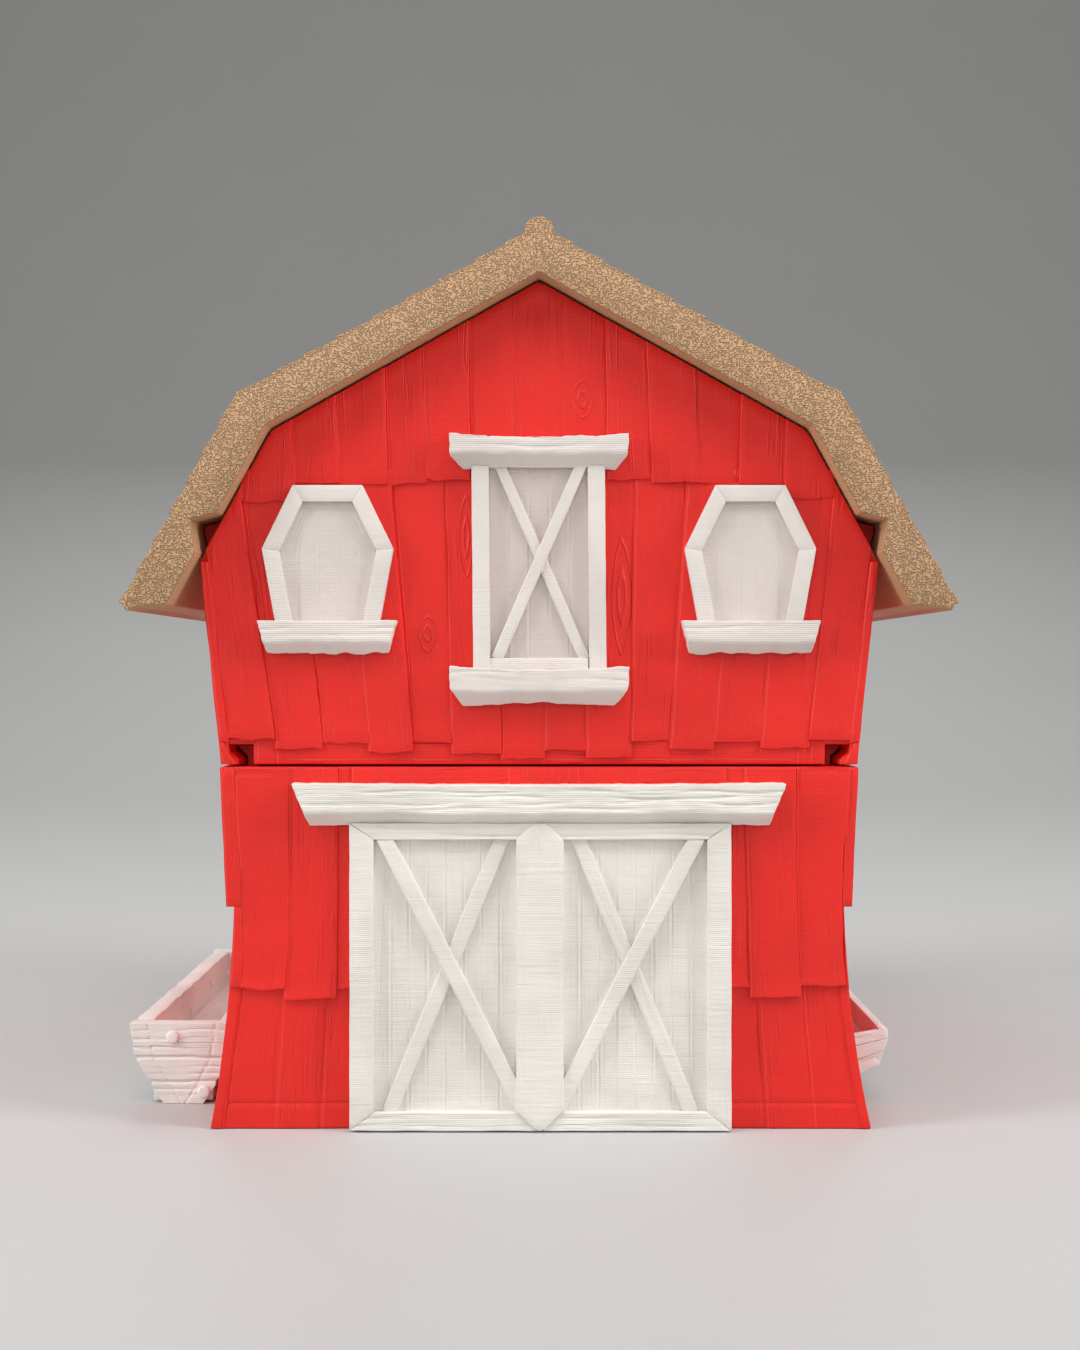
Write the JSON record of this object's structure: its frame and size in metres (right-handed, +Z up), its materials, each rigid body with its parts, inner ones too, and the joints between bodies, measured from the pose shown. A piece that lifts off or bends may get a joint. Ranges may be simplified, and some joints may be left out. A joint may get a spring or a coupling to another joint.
{
  "type": "toy barn",
  "caption": "Toy barn that comes apart: two stacking storeys held by sliding hook rails, a slide-on gambrel roof, white trim boards and a loose feed trough.",
  "frame": {"origin": "middle of the lower storey's footprint, on the plane that the barn stands on", "axes": "+Z up, -Y towards the front with the doors, +X to the viewer's right"},
  "size_m": [0.1189, 0.0956, 0.1269],
  "materials": {
    "red_plastic": "matte, fine layer lines",
    "white_plastic": "matte, fine layer lines",
    "tan_plastic": "matte, grained at the gable ends"
  },
  "bodies": {
    "lower": {"lower_storey": "red_plastic", "door_panel": "white_plastic", "door_header": "white_plastic", "feed_box": "white_plastic"},
    "upper": {"upper_storey": "red_plastic", "loft_door": "white_plastic", "loft_header": "white_plastic", "loft_sill": "white_plastic", "window_left": "white_plastic", "window_right": "white_plastic", "window_sill_left": "white_plastic", "window_sill_right": "white_plastic"},
    "roof": {"roof": "tan_plastic"},
    "trough": {"trough": "white_plastic"}
  },
  "joints": [
    {"name": "upper_slide", "type": "slide", "parent": "lower", "child": "upper", "axis": [0, 1, 0], "range_m": [0, 0.08]},
    {"name": "roof_slide", "type": "slide", "parent": "upper", "child": "roof", "axis": [0, 1, 0], "range_m": [0, 0.085]},
    {"name": "trough_lift", "type": "slide", "parent": "lower", "child": "trough", "axis": [0, 0, 1], "range_m": [0, 0.035]}
  ]
}
